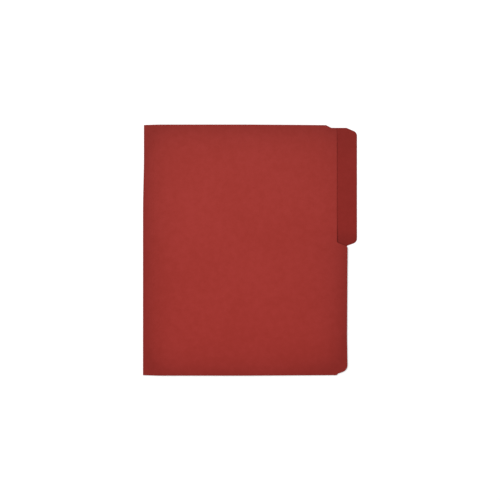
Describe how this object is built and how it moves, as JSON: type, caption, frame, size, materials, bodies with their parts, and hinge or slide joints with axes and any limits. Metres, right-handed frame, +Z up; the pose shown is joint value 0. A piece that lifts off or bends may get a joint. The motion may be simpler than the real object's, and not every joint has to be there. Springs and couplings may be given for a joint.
{
  "type": "file folder",
  "caption": "Letter-size file folder of coloured card with a half-cut tab; its front leaf opens flat on the fold and the scored spine expands.",
  "frame": {"origin": "on the surface that the closed folder lies on, under the middle of its outline", "axes": "+Z up, out of the front leaf; +X from the fold towards the tab; +Y along the fold, towards the end that the tab is at"},
  "size_m": [0.2518, 0.2954, 0.0015],
  "materials": {
    "card": "matte",
    "creased_card": "matte"
  },
  "bodies": {
    "back_leaf": {"back_leaf": "card", "back_fold_crease": "creased_card"},
    "fold_edge": {"fold_edge": "card", "front_fold_crease": "creased_card"},
    "spine_panel_1": {"spine_panel_1": "card", "score_crease_1": "creased_card"},
    "spine_panel_2": {"spine_panel_2": "card", "score_crease_2": "creased_card"},
    "spine_panel_3": {"spine_panel_3": "card"},
    "front_leaf": {"front_leaf": "card", "score_crease_3": "creased_card"}
  },
  "joints": [
    {"name": "cover_fold", "type": "hinge", "parent": "back_leaf", "child": "fold_edge", "pos_m": [-0.12571, 0, 0.00074], "axis": [0, -1, 0], "range_deg": [0, 180], "deforming": ["back_fold_crease"]},
    {"name": "spine_expansion", "type": "slide", "parent": "fold_edge", "child": "front_leaf", "axis": [0.5683, 0, -0.8228], "range_m": [-0.01826, 0], "deforming": ["score_crease_3"]},
    {"name": "spine_fold", "type": "hinge", "parent": "fold_edge", "child": "spine_panel_1", "pos_m": [-0.12571, 0, 0.00134], "axis": [0, 1, 0], "range_deg": [-90, 0], "deforming": ["front_fold_crease"]},
    {"name": "score_fold_1", "type": "hinge", "parent": "spine_panel_1", "child": "spine_panel_2", "pos_m": [-0.11936, 0, 0.00134], "axis": [0, -1, 0], "range_deg": [-30, 0], "deforming": ["score_crease_1"]},
    {"name": "score_fold_2", "type": "hinge", "parent": "spine_panel_2", "child": "spine_panel_3", "pos_m": [-0.11301, 0, 0.00134], "axis": [0, -1, 0], "range_deg": [-30, 0], "deforming": ["score_crease_2"]}
  ],
  "couplings": [
    {"joint": "spine_fold", "follows": "spine_expansion", "rad_per_m": 86.03},
    {"joint": "score_fold_1", "follows": "spine_expansion", "rad_per_m": 28.67},
    {"joint": "score_fold_2", "follows": "spine_expansion", "rad_per_m": 28.67}
  ]
}
